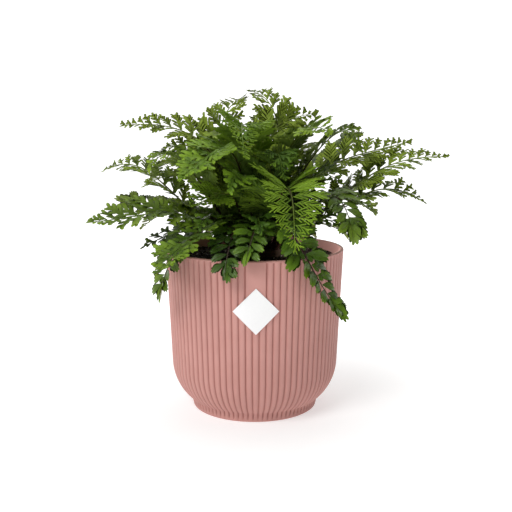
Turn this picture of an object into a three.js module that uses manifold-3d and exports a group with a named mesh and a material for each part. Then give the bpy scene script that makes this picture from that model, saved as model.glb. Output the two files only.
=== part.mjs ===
// A potted Asplenium fern, in millimetres, +Z up. The origin is the middle of the pot's foot, on the
// surface that it stands on. -Y is the front, where the pot has its plain panel and its label.
import * as THREE from 'three';
import { mergeVertices } from 'three/addons/utils/BufferGeometryUtils.js';
import Module from 'manifold-3d';

const wasm = await Module();
wasm.setup();

const { clamp, degToRad, lerp } = THREE.MathUtils;

// Pot
const POT_HEIGHT = 126;
const RIM_RADIUS = 69.5;
const BELLY_TOP_RADIUS = 65.4; // where the straight side meets the curved belly
const BELLY_TOP_Z = 36;
const BELLY_BANDS = 2;
const FOOT_TOP_RADIUS = 50.6;
const FOOT_HEIGHT = 7;
const FOOT_RADIUS = 49.2;
const LIP_HEIGHT = 1.6; // plain band above the grooves
const WALL = 3.2;
const INSIDE_FLOOR_Z = 4.5;
const RIBS = 84;
const RIB_STEPS = 3; // a rib is two shoulders and the groove beside it
const GROOVE_DEPTH = 1.1;
const INSIDE_SIDES = 30;

// Plain panel and label on the front
const PANEL_RIBS = 3;
const PANEL_PROUD = 0.15;
const PANEL_BOTTOM_Z = 88;
const PANEL_COLUMNS = 4;
const LABEL_DIAGONAL = 34;
const LABEL_Z = 89.5;
const LABEL_THICKNESS = 0.5;
const LABEL_COLUMNS = 10;

// Soil and crown
const CLEARANCE = 0.3; // between neighbours that touch
const SOIL_Z = 118; // at the pot's wall
const SOIL_RISE = 2.5; // the soil is heaped this much towards the crown
const SOIL_BUMP = 0.7;
const SOIL_RINGS = [54, 38];
const SOIL_SEED = 7;
const CROWN_RADIUS = 21;
const CROWN_FOOT_Z = 114;
const CROWN_EDGE_Z = 122.5;
const CROWN_DOME = 8;
const CROWN_SIDES = 10;
const CROWN_RINGS = [14];

// Fronds
const STALK_RINGS = [4, 8.5, 13, 17.5]; // radii on the crown where stalks stand, the youngest in the middle
const STALK_DEPTH = 4; // how far a stalk reaches into the crown
const SOCKET_LENGTH = 9; // the foot of a stalk is straight, inside its hole
const STALK_STEPS = 2;
const BARE_SHARE = [0.36, 0.34, 0.35, 0.4]; // share of a frond without leaflets, for each ring
const MIDRIB_HALF_WIDTH = 0.85;
const MIDRIB_HALF_THICKNESS = 0.7;
const BLADE_HALF_THICKNESS = 0.32;
const BLADE_RISE = 0.14; // how steeply the two halves of a blade rise from the midrib
const BLADE_SAG = 0.006; // how much they bend down again, per millimetre squared
const TIP_HANDLE = 0.4; // share of the chord over which a frond's tip is nearly straight
const LEAFLET_ANGLES = [80, 42]; // from the midrib, at the base of the blade and at its tip
const LEAFLET_SHARE = 0.32; // longest leaflet, as a share of the blade's length
const LEAFLET_SHORTEST = 0.16;
const FIRST_LEAFLET = 0.89; // the leaflets at the base of a blade, as a share of the longest
const LEAFLET_GAIN = 1.39; // how fast they lengthen from there
const LEAFLET_TAPER = 0.75; // how bluntly they shorten to the tip
const STAGGER = { right: 0.7, left: 0.3 }; // where the leaflets of each side stand within their spacing
const FEWEST_PAIRS = 4;

// The forms of leaflets: cut finely, cut into broad lobes, or entire and rounded. An outline runs from a
// leaflet's rear corner on the midrib to its front one, as shares of its length and of its half width. stem
// and width are half widths, as shares of the spacing.
const FORMS = {
  fine: { outline: [[0.55, -1], [1, 0], [0.6, 1]], stem: 0.2, width: 0.42, longest: 24, spacing: 12.4 },
  broad: { outline: [[0.75, -1], [1, 0.2], [0.6, 1]], stem: 0.16, width: 0.44, longest: 22, spacing: 13.6 },
  round: { outline: [[0.7, -1], [1, 0.1], [0.6, 1]], stem: 0.12, width: 0.42, longest: 15, spacing: 13 },
};

// Where each frond grows and how it arches. azimuth is 0 at +X and -90 at the front. The tip is reach out
// from the axis, sway to the side and tip high. The stalk leaves the crown at the angle lift and keeps to it
// over the share arch of the chord, and the tip points along fall. roll turns the blade about its midrib.
// name, form, ring, azimuth, reach, sway, tip, lift, fall, arch, roll
const FRONDS = [
  // Young fronds in the middle, nearly upright
  ['top_upright', 'fine', 0, 139, 50, -46, 242, 55, 0, 0.8, -15],
  ['top_leaning', 'fine', 0, 53, 36, 32, 248, 60, 5, 0.8, -5],
  ['top_right', 'fine', 0, 21, 52, -4, 230, 90, 10, 0.8, 65],
  ['centre_high', 'fine', 0, -112, 96, 31, 199, 85, -42, 0.95, -19],
  // Younger fronds that arch high
  ['high_left', 'fine', 1, 171, 104, 8, 220, 80, -5, 0.65, -45],
  ['back_left_high', 'fine', 1, 118, 93, -19, 208, 62, -36, 0.65, -3],
  ['back_high', 'fine', 1, 78, 92, -4, 216, 72, -40, 0.65, 10],
  ['right_dark', 'round', 1, 32, 92, -12, 216, 55, 45, 0.65, 20],
  ['right_inner', 'fine', 1, -13, 82, -17, 201, 69, -79, 0.65, 27],
  ['high_broad_right', 'broad', 1, -32, 81, -34, 214, 83, -21, 0.65, 33],
  ['centre_right', 'fine', 1, -71, 69, -4, 183, 72, -73, 1, 0],
  ['centre_mid', 'broad', 1, -95, 74, -12, 174, 70, -60, 0.65, -35],
  ['centre_broad', 'broad', 1, -119, 106, 0, 184, 85, -20, 1, -10],
  ['high_broad_left', 'broad', 1, -173, 46, 8, 206, 90, -20, 1, -5],
  // Grown fronds that spread wide
  ['left_drooping', 'fine', 2, 152, 122, -36, 174, 83, -44, 0.55, -31],
  ['back_left', 'fine', 2, 143, 122, -3, 167, 77, -28, 0.55, -2],
  ['back_mid', 'broad', 2, 102, 116, -5, 176, 68, -51, 0.55, -19],
  ['back_low', 'fine', 2, 74, 100, 4, 160, 65, -70, 0.55, 0],
  ['back_right_high', 'fine', 2, 64, 118, -6, 196, 75, -20, 0.55, 0],
  ['right_level', 'fine', 2, 5, 124, 0, 208, 70, 15, 0.55, 50],
  ['right_long', 'fine', 2, -6, 150, 19, 196, 35, -2, 0.55, 32],
  ['right_mid', 'fine', 2, -26, 76, -16, 178, 60, -40, 0.55, 30],
  ['feather', 'fine', 2, -63, 102, -24, 138, 62, -82, 1, -3],
  ['centre_bright', 'fine', 2, -121, 88, 0, 166, 80, 0, 0.8, -20],
  ['left_mid', 'broad', 2, -157, 89, 15, 187, 62, -64, 0.55, 3],
  ['left_curled', 'fine', 2, -171, 116, -44, 184, 35, -25, 0.55, -25],
  ['left_level', 'fine', 2, -181, 71, 1, 203, 60, -12, 0.55, -38],
  // Old fronds that lie low or hang over the rim
  ['left_rounded', 'round', 3, 179, 108, 0, 166, 60, 30, 0.55, -30],
  ['back_left_low', 'broad', 3, 154, 106, 0, 134, 55, -40, 0.55, 0],
  ['back_rim_left', 'round', 3, 124, 92, 0, 104, 55, -65, 0.9, 0],
  ['back_rim', 'broad', 3, 92, 108, 0, 126, 60, -50, 0.55, 0],
  ['back_rim_right', 'round', 3, 60, 96, 0, 116, 55, -60, 0.8, 0],
  ['back_right_low', 'broad', 3, 30, 122, 0, 144, 60, -40, 0.55, -10],
  ['right_rim', 'round', 3, 12, 76, -8, 132, 55, -40, 0.55, -5],
  ['right_low', 'fine', 3, -9, 132, 20, 160, 35, -35, 0.55, 30],
  ['right_short', 'broad', 3, -23, 95, 1, 157, 64, -36, 0.55, 11],
  ['right_hanging', 'round', 3, -32, 100, -35, 140, 61, -80, 0.9, 2],
  ['right_narrow', 'fine', 3, -43, 84, 0, 148, 65, -25, 0.55, 10],
  ['rim_front_right', 'round', 3, -77, 92, 44, 88, 50, -30, 1, 0],
  ['rim_front', 'round', 3, -84, 80, -16, 126, 60, -45, 0.8, 0],
  ['front_low', 'broad', 3, -91, 68, 4, 144, 75, -80, 0.55, 0],
  ['rim_front_left', 'round', 3, -110, 82, 6, 114, 70, -60, 0.8, 0],
  ['front_low_left', 'broad', 3, -124, 72, 0, 146, 65, -60, 0.55, -10],
  ['front_left_bright', 'broad', 3, -133, 115, 14, 121, 66, -21, 0.55, 0],
  ['rim_left', 'round', 3, -148, 89, 8, 94, 70, -75, 0.9, 0],
  ['left_long', 'broad', 3, -154, 132, -4, 152, 50, 0, 0.55, -30],
  ['left_dark', 'broad', 3, -165, 90, 0, 128, 65, -25, 0.55, -10],
].map(([name, form, ring, azimuth, reach, sway, tip, lift, fall, arch, roll]) => (
  { name, form, ring, azimuth, reach, sway, tip, lift, fall, arch, roll }
));

// Basic solids

// A geometry with shared vertices, without triangles that have shrunk to a line, and with its faces outwards
function tidied(geometry) {
  const plain = new THREE.BufferGeometry().setAttribute('position', geometry.getAttribute('position'));
  const merged = mergeVertices(plain.setIndex(geometry.index), 1e-4);
  const [p, q, r] = [0, 1, 2].map(() => new THREE.Vector3());
  const triangles = [];
  let volume = 0;
  for (let i = 0; i < merged.index.count; i += 3) {
    const corners = [0, 1, 2].map((k) => merged.index.getX(i + k));
    if (new Set(corners).size < 3) continue;
    triangles.push(corners);
    [p, q, r].forEach((point, k) => point.fromBufferAttribute(merged.attributes.position, corners[k]));
    volume += p.dot(q.cross(r));
  }
  return merged.setIndex((volume < 0 ? triangles.map(([a, b, c]) => [a, c, b]) : triangles).flat());
}

function solidOf(geometry) {
  const { index, attributes } = tidied(geometry);
  return new wasm.Manifold(new wasm.Mesh({
    numProp: 3,
    vertProperties: attributes.position.array,
    triVerts: new Uint32Array(index.array),
  }));
}

function geometryOf(solid) {
  const { vertProperties, triVerts } = solid.getMesh();
  return new THREE.BufferGeometry()
    .setAttribute('position', new THREE.BufferAttribute(vertProperties, 3))
    .setIndex(new THREE.BufferAttribute(triVerts, 1));
}

// Moves each vertex of a geometry to the place that a function gives for it
function reshaped(geometry, place) {
  const { position } = geometry.attributes;
  for (let i = 0; i < position.count; i++) {
    const { x, y, z } = place(new THREE.Vector3().fromBufferAttribute(position, i), i);
    position.setXYZ(i, x, y, z);
  }
  return geometry;
}

// A profile of [radius, z] pairs, from the axis round to the axis again, turned about Z from the front
function turned(profile, sides) {
  const points = profile.map(([radius, z]) => new THREE.Vector2(radius, z));
  return new THREE.LatheGeometry(points, sides).rotateX(Math.PI / 2);
}

// Pot

// Radius of the straight, slightly tapering side at a height
const sideRadius = (z) => lerp(BELLY_TOP_RADIUS, RIM_RADIUS, (z - BELLY_TOP_Z) / (POT_HEIGHT - BELLY_TOP_Z));

// The belly from the foot up: an arc that ends in line with the side. inset moves it inwards.
function bellyProfile(inset = 0) {
  const lean = Math.atan2(RIM_RADIUS - BELLY_TOP_RADIUS, POT_HEIGHT - BELLY_TOP_Z);
  const drop = BELLY_TOP_Z - FOOT_HEIGHT;
  const end = 2 * Math.atan((BELLY_TOP_RADIUS - FOOT_TOP_RADIUS) / drop) - lean;
  const radius = drop / (Math.sin(end) - Math.sin(lean));
  return Array.from({ length: BELLY_BANDS + 1 }, (_, i) => {
    const angle = lerp(end, lean, i / BELLY_BANDS);
    return [
      BELLY_TOP_RADIUS + radius * (Math.cos(angle) - Math.cos(lean)) - inset,
      BELLY_TOP_Z - radius * (Math.sin(angle) - Math.sin(lean)),
    ];
  });
}

// What fills the pot's inside up to a height, less a margin all round
function insideProfile(top, margin) {
  const inset = WALL + margin;
  const floor = INSIDE_FLOOR_Z + margin;
  const belly = bellyProfile(inset).filter(([, z]) => z > floor + WALL);
  return [[0, floor], [FOOT_RADIUS - inset, floor], ...belly, [sideRadius(top) - inset, top]];
}

// Every third edge of the many-sided body is pressed in as a groove, below the lip
function ribbedBody() {
  const profile = [
    [0, 0],
    [FOOT_RADIUS, 0],
    ...bellyProfile(),
    [sideRadius(POT_HEIGHT - LIP_HEIGHT), POT_HEIGHT - LIP_HEIGHT],
    [RIM_RADIUS, POT_HEIGHT],
    [0, POT_HEIGHT],
  ];
  return reshaped(turned(profile, RIBS * RIB_STEPS), (vertex, i) => {
    const groove = Math.floor(i / profile.length) % RIB_STEPS === 0;
    const radius = Math.hypot(vertex.x, vertex.y);
    if (!groove || radius === 0 || vertex.z > POT_HEIGHT - LIP_HEIGHT / 2) return vertex;
    const pressed = (radius - GROOVE_DEPTH) / radius;
    return vertex.multiply(new THREE.Vector3(pressed, pressed, 1));
  }).rotateZ(Math.PI / RIBS);
}

// A box bent round the pot's side: x runs along the side, y up it and z out from it
function bentRound(box, middleZ) {
  return reshaped(box, ({ x, y, z }) => {
    const height = middleZ + y;
    const radius = sideRadius(height) + z;
    const turn = x / RIM_RADIUS;
    return new THREE.Vector3(radius * Math.sin(turn), -radius * Math.cos(turn), height);
  });
}

// The plain panel covers the grooves of the middle front ribs, from the lip down to behind the label
function panelPlate() {
  const width = ((PANEL_RIBS - 1 / RIB_STEPS) * 2 * Math.PI * RIM_RADIUS) / RIBS;
  const height = POT_HEIGHT - LIP_HEIGHT - PANEL_BOTTOM_Z;
  const back = 1.5 * GROOVE_DEPTH;
  const plate = new THREE.BoxGeometry(width, height, back + PANEL_PROUD, PANEL_COLUMNS, 1, 1);
  return bentRound(plate.translate(0, 0, (PANEL_PROUD - back) / 2), PANEL_BOTTOM_Z + height / 2);
}

function potGeometry() {
  const inside = [...insideProfile(POT_HEIGHT + 1, 0), [0, POT_HEIGHT + 1]];
  return geometryOf(solidOf(ribbedBody())
    .subtract(solidOf(turned(inside, INSIDE_SIDES)))
    .add(solidOf(panelPlate())));
}

// A thin square sheet set on its corner: a bent box whose height shrinks to nothing at both ends
function labelGeometry() {
  const half = LABEL_DIAGONAL / 2;
  const sheet = new THREE.BoxGeometry(LABEL_DIAGONAL, 2, LABEL_THICKNESS, LABEL_COLUMNS, 1, 1);
  reshaped(sheet, ({ x, y, z }) => new THREE.Vector3(x, y * (half - Math.abs(x)), z));
  return tidied(bentRound(sheet.translate(0, 0, PANEL_PROUD + CLEARANCE + LABEL_THICKNESS / 2), LABEL_Z));
}

// Soil and crown

// The same sequence of numbers from 0 to 1 on every run
function seeded(seed) {
  let state = seed;
  return () => {
    state = (state * 16807) % 2147483647;
    return state / 2147483647;
  };
}

function soilGeometry() {
  const random = seeded(SOIL_SEED);
  const heaped = (radius) => SOIL_Z + SOIL_RISE * (1 - radius / RIM_RADIUS);
  const profile = [
    ...insideProfile(SOIL_Z, CLEARANCE),
    ...SOIL_RINGS.map((radius) => [radius, heaped(radius)]),
    [0, heaped(0)],
  ];
  const bumps = profile.map(() => Array.from({ length: INSIDE_SIDES }, () => (2 * random() - 1) * SOIL_BUMP));
  const body = reshaped(turned(profile, INSIDE_SIDES), (vertex, i) => {
    const [side, step] = [Math.floor(i / profile.length) % INSIDE_SIDES, i % profile.length];
    if (SOIL_RINGS.includes(profile[step][0])) vertex.z += bumps[step][side];
    return vertex;
  });
  const radius = CROWN_RADIUS + CLEARANCE;
  const foot = CROWN_FOOT_Z - CLEARANCE;
  const pocket = [[0, foot], [radius, foot], [radius, POT_HEIGHT], [0, POT_HEIGHT]];
  return geometryOf(solidOf(body).subtract(solidOf(turned(pocket, CROWN_SIDES))));
}

const crownHeight = (radius) => CROWN_EDGE_Z + CROWN_DOME * Math.sqrt(1 - (radius / CROWN_RADIUS) ** 2);

// The crown is a low dome with a hole for every stalk
function crownGeometry() {
  const dome = [CROWN_RADIUS, ...CROWN_RINGS, 0].map((radius) => [radius, crownHeight(radius)]);
  const body = solidOf(turned([[0, CROWN_FOOT_Z], [CROWN_RADIUS, CROWN_FOOT_Z], ...dome], CROWN_SIDES));
  return geometryOf(FRONDS.reduce((left, frond) => left.subtract(solidOf(stalkHole(frond))), body));
}

// Fronds. Each is built in its own plane, as if its azimuth were 0: +X out from the axis and +Y sideways.

// The midrib from inside the crown to the tip, with the directions along, across and out of the blade
function midribOf({ ring, reach, sway, tip, lift, fall, arch, roll }) {
  const slanted = (horizontal, degrees) => horizontal.clone().multiplyScalar(Math.cos(degToRad(degrees)))
    .setZ(Math.sin(degToRad(degrees)));
  const heading = new THREE.Vector3(reach, 2 * sway, 0).normalize();
  const start = new THREE.Vector3(STALK_RINGS[ring], 0, crownHeight(STALK_RINGS[ring]) - STALK_DEPTH);
  const end = new THREE.Vector3(reach, sway, tip);
  const chord = start.distanceTo(end);
  const path = new THREE.CubicBezierCurve3(
    start,
    start.clone().addScaledVector(slanted(new THREE.Vector3(1, 0, 0), lift), chord * arch),
    end.clone().addScaledVector(slanted(heading, fall), -chord * TIP_HANDLE),
    end,
  );
  const length = path.getLength();
  const side = new THREE.Vector3(0, 1, 0);
  const sideAtTip = new THREE.Vector3(-heading.y, heading.x, 0);
  const at = (distance) => {
    const share = clamp(distance / length, 0, 1);
    const forward = path.getTangentAt(share);
    const place = path.getPointAt(share).addScaledVector(forward, Math.max(0, distance - length));
    const across = side.clone().lerp(sideAtTip, share);
    across.addScaledVector(forward, -across.dot(forward)).normalize();
    across.applyAxisAngle(forward, degToRad(roll) * share);
    return { place, forward, across, normal: forward.clone().cross(across) };
  };
  return { length, at };
}

// Leaflets lengthen quickly from the base of the blade and shorten slowly to its tip, where along is 1
function leafletShare(along) {
  const share = (1 - along) ** LEAFLET_TAPER * (FIRST_LEAFLET + LEAFLET_GAIN * along);
  return Math.max(LEAFLET_SHORTEST, share);
}

// The outlines of the leaflets on one side of a frond. s runs along the midrib, t across it.
function leafletsOf(frond, length, side) {
  const { outline, stem, width, longest, spacing } = FORMS[frond.form];
  const bare = BARE_SHARE[frond.ring] * length;
  const blade = length - bare;
  const pairs = Math.max(FEWEST_PAIRS, Math.round(blade / spacing));
  const step = blade / pairs;
  const stagger = side > 0 ? STAGGER.left : STAGGER.right;
  return Array.from({ length: pairs }, (_, i) => {
    const along = (i + stagger) / pairs;
    const root = bare + along * blade;
    const reach = Math.min(longest, LEAFLET_SHARE * blade) * leafletShare(along);
    const angle = degToRad(lerp(...LEAFLET_ANGLES, along));
    const [cos, sin] = [Math.cos(angle), Math.sin(angle)];
    const halfWidth = width * step * sin;
    const corner = (shift) => ({ s: root + shift, t: side * MIDRIB_HALF_WIDTH, half: MIDRIB_HALF_THICKNESS });
    const beyond = outline.map(([out, forward]) => ({
      s: root + reach * out * cos + halfWidth * forward * sin,
      t: side * (MIDRIB_HALF_WIDTH + reach * out * sin - halfWidth * forward * cos),
      half: BLADE_HALF_THICKNESS,
    }));
    return [corner(-stem * step), ...beyond, corner(stem * step)];
  });
}

// Three flat vertices in anticlockwise order
function anticlockwise([a, b, c], flat) {
  const [p, q, r] = [flat[a], flat[b], flat[c]];
  return (q.s - p.s) * (r.t - p.t) > (r.s - p.s) * (q.t - p.t) ? [a, b, c] : [a, c, b];
}

// Triangles between the two edges of a midrib, from the stalk's foot to the tip that both edges end on
function midribStrip(right, left, flat) {
  const strip = [];
  let [i, j] = [0, 0];
  while (i + 1 < right.length || j + 1 < left.length) {
    const nextRight = i + 1 < right.length ? flat[right[i + 1]].s : Infinity;
    const nextLeft = j + 1 < left.length ? flat[left[j + 1]].s : Infinity;
    const corners = nextRight <= nextLeft ? [right[i], left[j], right[++i]] : [right[i], left[j], left[++j]];
    if (new Set(corners).size === 3) strip.push(anticlockwise(corners, flat));
  }
  return strip;
}

// A frond is one thin blade, cut to the midrib between its leaflets and arched in space
function frondGeometry(frond) {
  const { length, at } = midribOf(frond);
  const tip = 0;
  const flat = [{ s: length, t: 0, half: BLADE_HALF_THICKNESS }];
  const add = (vertex) => flat.push(vertex) - 1;
  const bare = BARE_SHARE[frond.ring] * length;
  const stations = Array.from({ length: STALK_STEPS }, (_, i) => lerp(SOCKET_LENGTH, bare, i / STALK_STEPS));
  const triangles = [];
  const [right, left] = [-1, 1].map((side) => {
    const stalk = [0, ...stations]
      .map((s) => add({ s, t: side * MIDRIB_HALF_WIDTH, half: MIDRIB_HALF_THICKNESS }));
    const leaflets = leafletsOf(frond, length, side).map((outline) => {
      const ids = outline.map(add);
      const faces = THREE.ShapeUtils.triangulateShape(outline.map(({ s, t }) => new THREE.Vector2(s, t)), []);
      triangles.push(...faces.map((face) => anticlockwise(face.map((k) => ids[k]), flat)));
      return ids;
    });
    return {
      midrib: [...stalk, ...leaflets.flatMap((ids) => [ids[0], ids.at(-1)]), tip],
      edge: [...stalk, ...leaflets.flat()],
    };
  });
  triangles.push(...midribStrip(right.midrib, left.midrib, flat));
  return bladeGeometry(flat, triangles, [...right.edge, tip, ...left.edge.reverse()], at);
}

// Lifts flat vertices onto the arched blade, once for each face, and closes the edge between the two faces
function bladeGeometry(flat, triangles, edge, at) {
  const positions = flat.flatMap(({ s, t, half }) => {
    const { place, across, normal } = at(s);
    const middle = place.addScaledVector(across, t)
      .addScaledVector(normal, BLADE_RISE * Math.abs(t) - BLADE_SAG * t * t);
    return [half, -half].flatMap((offset) => middle.clone().addScaledVector(normal, offset).toArray());
  });
  const faces = triangles.flatMap(([a, b, c]) => [2 * a, 2 * b, 2 * c, 2 * a + 1, 2 * c + 1, 2 * b + 1]);
  edge.forEach((a, i) => {
    const b = edge[(i + 1) % edge.length];
    faces.push(2 * a + 1, 2 * b + 1, 2 * b, 2 * a + 1, 2 * b, 2 * a);
  });
  return tidied(new THREE.BufferGeometry()
    .setAttribute('position', new THREE.Float32BufferAttribute(positions, 3))
    .setIndex(faces));
}

// The hole in the crown round the straight foot of a stalk, turned to the frond's azimuth
function stalkHole(frond) {
  const { at } = midribOf(frond);
  return reshaped(new THREE.BoxGeometry(2, 2, 2), ({ x, y, z }) => {
    const { place, forward, across, normal } = at(x < 0 ? 0 : SOCKET_LENGTH);
    return place.addScaledVector(forward, x * CLEARANCE)
      .addScaledVector(across, y * (MIDRIB_HALF_WIDTH + CLEARANCE))
      .addScaledVector(normal, z * (MIDRIB_HALF_THICKNESS + CLEARANCE));
  }).rotateZ(degToRad(frond.azimuth));
}

// Assembly

const COLORS = { pot: 0xcb9186, label: 0xfafafa, soil: 0x1e1411, crown: 0x2c2013 };
const FROND_COLORS = { fine: 0x5b7f22, broad: 0x4c6f1e, round: 0x2f5a17 };

function named(name, geometry, color, roughness) {
  const mesh = new THREE.Mesh(geometry, new THREE.MeshStandardMaterial({ color, roughness, metalness: 0 }));
  mesh.name = name;
  return mesh;
}

const plant = new THREE.Group();
plant.add(
  named('pot', potGeometry(), COLORS.pot, 0.6),
  named('label', labelGeometry(), COLORS.label, 0.5),
  named('soil', soilGeometry(), COLORS.soil, 0.95),
  named('crown', crownGeometry(), COLORS.crown, 0.9),
);
for (const frond of FRONDS) {
  const mesh = named(`frond_${frond.name}`, frondGeometry(frond), FROND_COLORS[frond.form], 0.45);
  mesh.rotation.z = degToRad(frond.azimuth);
  plant.add(mesh);
}

export default plant;
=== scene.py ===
"""A potted Asplenium fern, dressed for its studio picture.

Lengths are in millimetres and become metres with MM. The origin is the middle of the pot's foot, and its
front faces -Y.
"""
import math
from collections import namedtuple

import bpy
import numpy as np
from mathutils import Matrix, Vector, noise
from mathutils.geometry import delaunay_2d_cdt


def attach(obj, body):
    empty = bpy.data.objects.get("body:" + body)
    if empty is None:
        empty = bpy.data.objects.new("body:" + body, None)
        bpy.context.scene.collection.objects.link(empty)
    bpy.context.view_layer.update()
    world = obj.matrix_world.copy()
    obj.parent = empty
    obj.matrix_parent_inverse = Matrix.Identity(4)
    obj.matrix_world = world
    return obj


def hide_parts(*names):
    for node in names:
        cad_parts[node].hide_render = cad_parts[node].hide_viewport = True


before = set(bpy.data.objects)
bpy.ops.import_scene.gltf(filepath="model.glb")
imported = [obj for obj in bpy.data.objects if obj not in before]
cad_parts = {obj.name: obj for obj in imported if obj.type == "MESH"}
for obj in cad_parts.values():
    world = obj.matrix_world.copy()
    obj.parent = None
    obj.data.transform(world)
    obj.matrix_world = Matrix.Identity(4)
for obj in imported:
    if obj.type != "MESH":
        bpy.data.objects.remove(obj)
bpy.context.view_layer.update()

MM = 0.001
FRONT = -math.pi / 2
POLE_RADIUS = 0.01  # stands for 0 where a turned surface meets its axis
SEED = 11

# Pot
POT_HEIGHT = 126
RIM_RADIUS = 69.5
BELLY_TOP_RADIUS = 65.4  # where the straight side meets the curved belly
BELLY_TOP_Z = 36
BELLY_STEPS = 14
FOOT_TOP_RADIUS = 50.6
FOOT_HEIGHT = 7
FOOT_RADIUS = 49.2
WALL = 3.2
INSIDE_FLOOR_Z = 4.5
EDGE_ROUNDING = 1.2  # of the rim and the foot
ROUNDING_STEPS = 5
RIBS = 84
# Half a rib from the groove beside it to its crest: place in the rib, share of the groove's depth
RIB_SECTION = [(0, 1), (0.04, 0.84), (0.09, 0.5), (0.17, 0.25), (0.28, 0.1), (0.4, 0.025)]
GROOVE_DEPTH = 1.1
GROOVE_TOP = [124, 125.2]  # heights over which the grooves fade out
GROOVE_BOTTOM = [1, 4]
PANEL_RIBS = 3  # the plain panel on the front covers this many ribs, from the rim down to behind the label
PANEL_PROUD = 0.15
PANEL_BOTTOM_Z = 88
PANEL_FADE = 0.6
PANEL_MARGIN = 1 / 6  # of a rib, at both its sides
LOW_ROWS = [48, 66]  # heights of the mesh's rows on the side, under the panel's lower edge
HIGH_ROWS = [100, 112, 120]  # over that edge
INSIDE_ROWS = [112, 84, 60]

# Label: a sheet set on its corner
LABEL_DIAGONAL = 34
LABEL_Z = 89.5
LABEL_THICKNESS = 0.4
LABEL_STEPS = 14
CLEARANCE = 0.3  # between neighbours that touch

# Soil and crown
SOIL_Z = 118
SOIL_RISE = 2.5  # from the pot's wall to the middle
SOIL_ROWS = 46
SOIL_COLUMNS = 180
SOIL_BUMPS = [(7, 1.3), (2.2, 0.5)]  # how wide and how high
SOIL_TONE = 0.3
GRAINS = 2200
GRAIN_SIZES = [0.4, 1.6]
GRAIN_CORNERS = [0.25, 0.55]  # how far out they are, as a share of the grain's size
GRAIN_TONES = [0.1, 0.75]
GRAIN_LIFT = 0.3
GRAIN_MARGIN = 1
PALE_GRAINS = 0.06  # share of the grains that are light specks
CROWN_RADIUS = 21
CROWN_FOOT_Z = 114
CROWN_EDGE_Z = 122.5
CROWN_DOME = 8
CROWN_ROWS = 16
CROWN_COLUMNS = 64
CROWN_BUMPS = (3, 0.8)
SCALES = 300
SCALE_LENGTHS = [3, 6.5]
SCALE_HALF_WIDTH = 0.7
SCALE_HALF_THICKNESS = 0.2
SCALE_RISES = [5, 50]  # degrees
SCALE_TONES = [0.3, 0.9]
SCALE_DEPTH = 0.3

# Fronds
STALK_RINGS = [4, 8.5, 13, 17.5]  # radii on the crown
STALK_DEPTH = 4  # in the crown
BARE_SHARE = [0.36, 0.34, 0.35, 0.4]  # of a frond on each ring, the stalk below its blade
LEAFLET_ROOT = 0.5  # where leaflets start, out from the middle of the midrib
BLADE_RISE = 0.14  # how steeply the blade rises on both sides of the midrib
BLADE_SAG = 0.006  # and how it drops again, with the square of the distance
TIP_HANDLE = 0.4  # share of the way to the tip over which the midrib turns to its last direction
LEAFLET_SHARE = 0.32  # the longest leaflet, at most, as a share of the blade
LEAF_START = 0.13  # share of a frond below its lowest leaflet
CLOSER_AT_TIP = 0.35  # share of the spacing that is left for the shortest leaflets
FIRST_LEAFLET = 0.89  # its length at the base of the blade, as a share of the longest
LEAFLET_GAIN = 2.1  # how quickly leaflets lengthen from there
LEAFLET_TAPER = 1.2  # how early they shorten towards the tip
STALK_LEAFLET_FADE = 0.8  # how quickly they shorten down the stalk
END_LEAFLET = 1.5  # length of the one at the tip, as a share of the shortest
END_LEAFLET_INSIDE = 0.95  # share of it that is short of the midrib's end
END_LEAFLET_ALONE = 0.5  # share of it beside which no other leaflet grows
END_LEAFLET_ANGLE = 4
CURVE_STEPS = 200
MIDRIB_STEPS = 60
MIDRIB_SIDES = 8
MIDRIB_RADII = [1.05, 0.2]
MIDRIB_TONES = [-0.25, 0]  # how much lighter than its leaflets it is, from the crown to the tip
AXIS_SIDES = 4
AXIS_STEPS = 4
AXIS_RADII = [0.42, 0.12]
BLADE_HALF_THICKNESS = 0.24
SHARP_ANGLE = math.radians(50)  # between faces, from which their edge is shaded as a crease

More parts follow.
